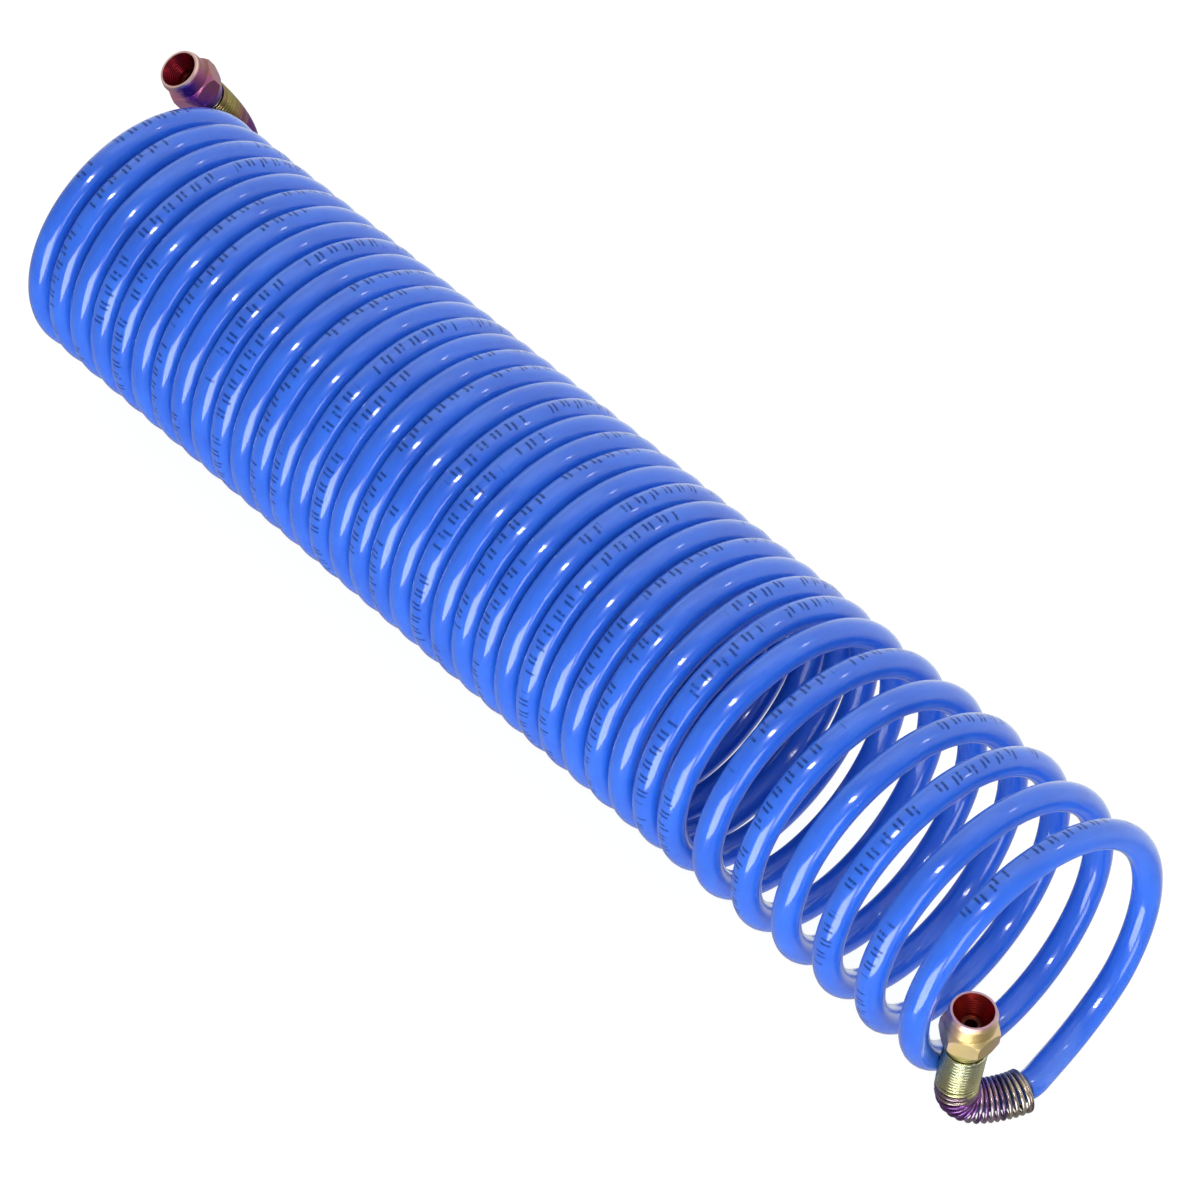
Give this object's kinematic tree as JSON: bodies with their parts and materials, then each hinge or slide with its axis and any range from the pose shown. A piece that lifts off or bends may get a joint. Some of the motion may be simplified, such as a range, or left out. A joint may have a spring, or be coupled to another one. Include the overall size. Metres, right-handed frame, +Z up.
{
  "type": "coiled air hose",
  "caption": "Left-hand coil of blue plastic air hose lying on its side, with a male threaded swivel fitting and a wire spring guard at each end.",
  "frame": {"origin": "on the floor, at the centre of the part's footprint", "axes": "+X along the coil's axis towards the near end, which has the open turns; +Z up; the side seen in the picture faces -Y"},
  "size_m": [0.3924, 0.0895, 0.0848],
  "materials": {
    "hose_blue": "glossy extruded plastic",
    "guard_wire": "plated spring wire",
    "yellow_zinc": "iridescent yellow zinc plate",
    "inner_steel": "turned steel",
    "seal_rubber": "matt black"
  },
  "bodies": {
    "coil": {"hose_coil_closed": "hose_blue", "hose_coil_open": "hose_blue", "far_hose_tail": "hose_blue", "far_spring_guard": "guard_wire", "far_ferrule": "inner_steel", "far_stem": "inner_steel", "far_oring": "seal_rubber"},
    "near_end": {"near_hose_tail": "hose_blue", "near_spring_guard": "guard_wire", "near_ferrule": "inner_steel", "near_stem": "inner_steel", "near_oring": "seal_rubber"},
    "near_swivel": {"near_nipple": "yellow_zinc", "near_snap_ring": "inner_steel"},
    "far_swivel": {"far_nipple": "yellow_zinc", "far_snap_ring": "inner_steel"}
  },
  "joints": [
    {"name": "coil_stretch", "type": "slide", "parent": "coil", "child": "near_end", "axis": [1, 0, 0], "range_m": [-0.03, 3], "stiffness_N_per_m": 8, "deforming": ["hose_coil_closed", "hose_coil_open", "near_hose_tail"]},
    {"name": "near_swivel_turn", "type": "hinge", "parent": "near_end", "child": "near_swivel", "pos_m": [0.182, -0.0279, 0.0447], "axis": [0.05, 0.054, 0.9973], "continuous": true},
    {"name": "far_swivel_turn", "type": "hinge", "parent": "coil", "child": "far_swivel", "pos_m": [-0.1908, 0.0229, 0.0817], "axis": [-0.1599, -0.4798, 0.8627], "continuous": true}
  ]
}
